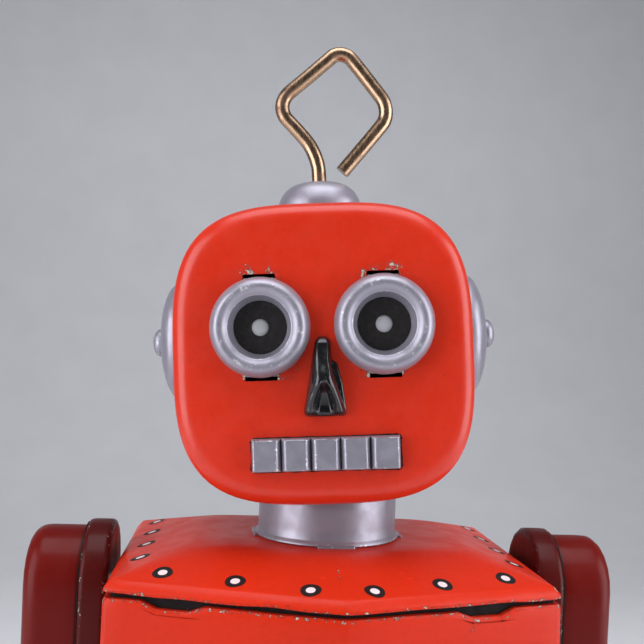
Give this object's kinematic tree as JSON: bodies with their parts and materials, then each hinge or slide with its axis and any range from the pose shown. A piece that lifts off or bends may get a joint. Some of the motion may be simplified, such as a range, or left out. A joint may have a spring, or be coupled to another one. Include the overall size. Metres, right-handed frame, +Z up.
{
  "type": "tin wind-up robot",
  "caption": "Walking tinplate clockwork robot: square head on a neck, diamond wire antenna, box body, swinging legs and claw arms, winding key.",
  "frame": {"origin": "middle of the footprint on the ground, below the neck's axis", "axes": "+Z up, -Y the way the robot faces, +X the robot's left"},
  "size_m": [0.1074, 0.0634, 0.2447],
  "materials": {
    "red_tin": "gloss lithographed enamel",
    "dark_red_tin": "gloss lithographed enamel",
    "silver_tin": "satin metallic lacquer",
    "black_enamel": "gloss enamel",
    "pupil_metal": "satin enamel",
    "antenna_metal": "aged satin",
    "steel": "satin",
    "plated_steel": "polished",
    "brass": "satin",
    "spring_steel": "blued",
    "sole_metal": "bare tinplate, scuffed"
  },
  "bodies": {
    "body": {"torso_front": "red_tin", "torso_back": "red_tin", "shoulder_lid": "red_tin", "base_plate": "steel", "neck": "silver_tin", "wall_bushes": "steel", "motor_plate_left": "steel", "motor_plate_right": "steel", "motor_pillars": "brass", "motor_screws": "steel", "mainspring": "spring_steel", "hip_pins": "steel"},
    "head": {"head_front": "red_tin", "head_back": "red_tin", "eye_ring_left": "silver_tin", "eye_ring_right": "silver_tin", "eye_disc_left": "black_enamel", "eye_disc_right": "black_enamel", "pupils": "pupil_metal", "nose": "black_enamel", "teeth": "silver_tin", "ear_left": "silver_tin", "ear_right": "silver_tin", "ear_rivets": "silver_tin", "antenna_cap": "silver_tin", "antenna_wire": "antenna_metal", "antenna_washer": "steel"},
    "winding": {"winding_arbor": "steel", "ratchet_wheel": "brass", "key": "plated_steel"},
    "drive": {"great_wheel": "brass", "click": "steel", "click_spring": "steel"},
    "crank": {"crank_axle": "steel", "crank_pinion": "steel", "crank_wheel": "brass", "crank_left": "steel", "crank_right": "steel"},
    "governor": {"governor_arbor": "steel", "governor_pinion": "steel", "governor_fly": "brass"},
    "leg_left": {"leg_left": "dark_red_tin", "foot_left": "dark_red_tin", "sole_left": "sole_metal", "leg_lever_left": "steel"},
    "arm_left": {"arm_inner_left": "dark_red_tin", "arm_outer_left": "red_tin", "claw_left": "silver_tin", "shoulder_shaft_left": "steel"},
    "rod_left": {"rod_left": "steel"},
    "leg_right": {"leg_right": "dark_red_tin", "foot_right": "dark_red_tin", "sole_right": "sole_metal", "leg_lever_right": "steel"},
    "arm_right": {"arm_inner_right": "dark_red_tin", "arm_outer_right": "red_tin", "claw_right": "silver_tin", "shoulder_shaft_right": "steel"},
    "rod_right": {"rod_right": "steel"}
  },
  "joints": [
    {"name": "left_leg_swing", "type": "hinge", "parent": "body", "child": "leg_left", "pos_m": [0, 0, 0.08], "axis": [1, 0, 0], "range_deg": [-12, 12]},
    {"name": "right_leg_swing", "type": "hinge", "parent": "body", "child": "leg_right", "pos_m": [0, 0, 0.08], "axis": [1, 0, 0], "range_deg": [-12, 12]},
    {"name": "left_arm_swing", "type": "hinge", "parent": "body", "child": "arm_left", "pos_m": [0, 0.004, 0.142], "axis": [1, 0, 0], "range_deg": [-12, 12]},
    {"name": "right_arm_swing", "type": "hinge", "parent": "body", "child": "arm_right", "pos_m": [0, 0.004, 0.142], "axis": [1, 0, 0], "range_deg": [-12, 12]},
    {"name": "left_rod_pivot", "type": "hinge", "parent": "arm_left", "child": "rod_left", "pos_m": [0, 0.01, 0.142], "axis": [1, 0, 0], "range_deg": [-12, 12]},
    {"name": "right_rod_pivot", "type": "hinge", "parent": "arm_right", "child": "rod_right", "pos_m": [0, 0.01, 0.142], "axis": [1, 0, 0], "range_deg": [-12, 12]},
    {"name": "head_swivel", "type": "hinge", "parent": "body", "child": "head", "pos_m": [0, 0, 0.1623], "axis": [0, 0, 1], "range_deg": [-29, 41]},
    {"name": "great_wheel_turn", "type": "hinge", "parent": "body", "child": "drive", "pos_m": [0, 0.01536, 0.09229], "axis": [1, 0, 0], "continuous": true},
    {"name": "crank_turn", "type": "hinge", "parent": "body", "child": "crank", "pos_m": [0, 0, 0.095], "axis": [1, 0, 0], "continuous": true},
    {"name": "governor_turn", "type": "hinge", "parent": "body", "child": "governor", "pos_m": [0, 0, 0.1106], "axis": [1, 0, 0], "continuous": true},
    {"name": "key_wind", "type": "hinge", "parent": "body", "child": "winding", "pos_m": [0, 0.01536, 0.09229], "axis": [1, 0, 0], "continuous": true}
  ],
  "couplings": [
    {"joint": "right_leg_swing", "follows": "left_leg_swing", "ratio": -1},
    {"joint": "left_arm_swing", "follows": "left_leg_swing", "ratio": -1},
    {"joint": "right_arm_swing", "follows": "left_leg_swing", "ratio": 1},
    {"joint": "left_rod_pivot", "follows": "left_leg_swing", "ratio": 1},
    {"joint": "right_rod_pivot", "follows": "left_leg_swing", "ratio": -1},
    {"joint": "crank_turn", "follows": "great_wheel_turn", "ratio": -3.3333},
    {"joint": "governor_turn", "follows": "great_wheel_turn", "ratio": 11.111}
  ]
}
